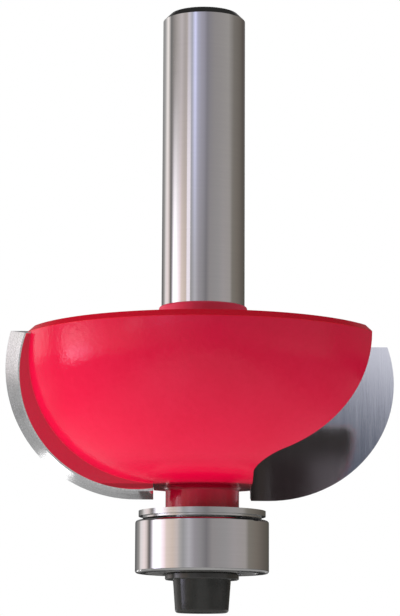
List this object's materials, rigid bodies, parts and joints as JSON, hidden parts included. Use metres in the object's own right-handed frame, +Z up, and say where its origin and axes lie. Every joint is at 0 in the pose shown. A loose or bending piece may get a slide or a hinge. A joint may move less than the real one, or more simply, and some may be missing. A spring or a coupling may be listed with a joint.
{
  "type": "cove router bit",
  "caption": "Cove router bit with brazed carbide wings, milled gullets, a clamped ball-bearing guide and a plain cylindrical shank.",
  "frame": {"origin": "on the shank's axis, where the bare shank meets the painted collar", "axes": "+Z up the shank, out of the cutter and into the collet; +X towards tooth 1, whose rake face looks along -Y; the bit turns clockwise seen from the shank's end"},
  "size_m": [0.0372, 0.0356, 0.0582],
  "materials": {
    "painted_steel": "gloss red paint on the head, collar and neck; the shank and the ground tooth faces are bare",
    "carbide": "ground",
    "turned_steel": "fine turned",
    "bearing_steel": "ground and polished",
    "pressed_steel": "pressed sheet",
    "black_steel": "black oxide, satin"
  },
  "bodies": {
    "tool": {"tool_body": "painted_steel", "carbide_tip_1": "carbide", "carbide_tip_2": "carbide", "dust_shield": "turned_steel", "bearing_inner_ring": "bearing_steel", "clamp_washer": "black_steel", "clamp_screw": "black_steel"},
    "outer_race": {"bearing_outer_ring": "bearing_steel", "bearing_cover_upper": "pressed_steel", "bearing_cover_lower": "pressed_steel"},
    "cage": {"ball_cage_upper": "pressed_steel", "ball_cage_lower": "pressed_steel", "cage_rivets": "pressed_steel"},
    "ball_1": {"bearing_ball_1": "bearing_steel"},
    "ball_2": {"bearing_ball_2": "bearing_steel"},
    "ball_3": {"bearing_ball_3": "bearing_steel"},
    "ball_4": {"bearing_ball_4": "bearing_steel"},
    "ball_5": {"bearing_ball_5": "bearing_steel"},
    "ball_6": {"bearing_ball_6": "bearing_steel"},
    "ball_7": {"bearing_ball_7": "bearing_steel"}
  },
  "joints": [
    {"name": "outer_ring_spin", "type": "hinge", "parent": "tool", "child": "outer_race", "pos_m": [0, 0, -0.02303], "axis": [0, 0, 1], "continuous": true},
    {"name": "cage_orbit", "type": "hinge", "parent": "tool", "child": "cage", "pos_m": [0, 0, -0.02303], "axis": [0, 0, 1], "continuous": true},
    {"name": "ball_1_spin", "type": "hinge", "parent": "cage", "child": "ball_1", "pos_m": [0.00437, 0, -0.02303], "axis": [0, 0, 1], "continuous": true},
    {"name": "ball_2_spin", "type": "hinge", "parent": "cage", "child": "ball_2", "pos_m": [0.00272, 0.00341, -0.02303], "axis": [0, 0, 1], "continuous": true},
    {"name": "ball_3_spin", "type": "hinge", "parent": "cage", "child": "ball_3", "pos_m": [-0.00097, 0.00426, -0.02303], "axis": [0, 0, 1], "continuous": true},
    {"name": "ball_4_spin", "type": "hinge", "parent": "cage", "child": "ball_4", "pos_m": [-0.00393, 0.00189, -0.02303], "axis": [0, 0, 1], "continuous": true},
    {"name": "ball_5_spin", "type": "hinge", "parent": "cage", "child": "ball_5", "pos_m": [-0.00393, -0.00189, -0.02303], "axis": [0, 0, 1], "continuous": true},
    {"name": "ball_6_spin", "type": "hinge", "parent": "cage", "child": "ball_6", "pos_m": [-0.00097, -0.00426, -0.02303], "axis": [0, 0, 1], "continuous": true},
    {"name": "ball_7_spin", "type": "hinge", "parent": "cage", "child": "ball_7", "pos_m": [0.00272, -0.00341, -0.02303], "axis": [0, 0, 1], "continuous": true}
  ],
  "couplings": [
    {"joint": "cage_orbit", "follows": "outer_ring_spin", "ratio": 0.6364},
    {"joint": "ball_1_spin", "follows": "outer_ring_spin", "ratio": 1.6971},
    {"joint": "ball_2_spin", "follows": "outer_ring_spin", "ratio": 1.6971},
    {"joint": "ball_3_spin", "follows": "outer_ring_spin", "ratio": 1.6971},
    {"joint": "ball_4_spin", "follows": "outer_ring_spin", "ratio": 1.6971},
    {"joint": "ball_5_spin", "follows": "outer_ring_spin", "ratio": 1.6971},
    {"joint": "ball_6_spin", "follows": "outer_ring_spin", "ratio": 1.6971},
    {"joint": "ball_7_spin", "follows": "outer_ring_spin", "ratio": 1.6971}
  ]
}
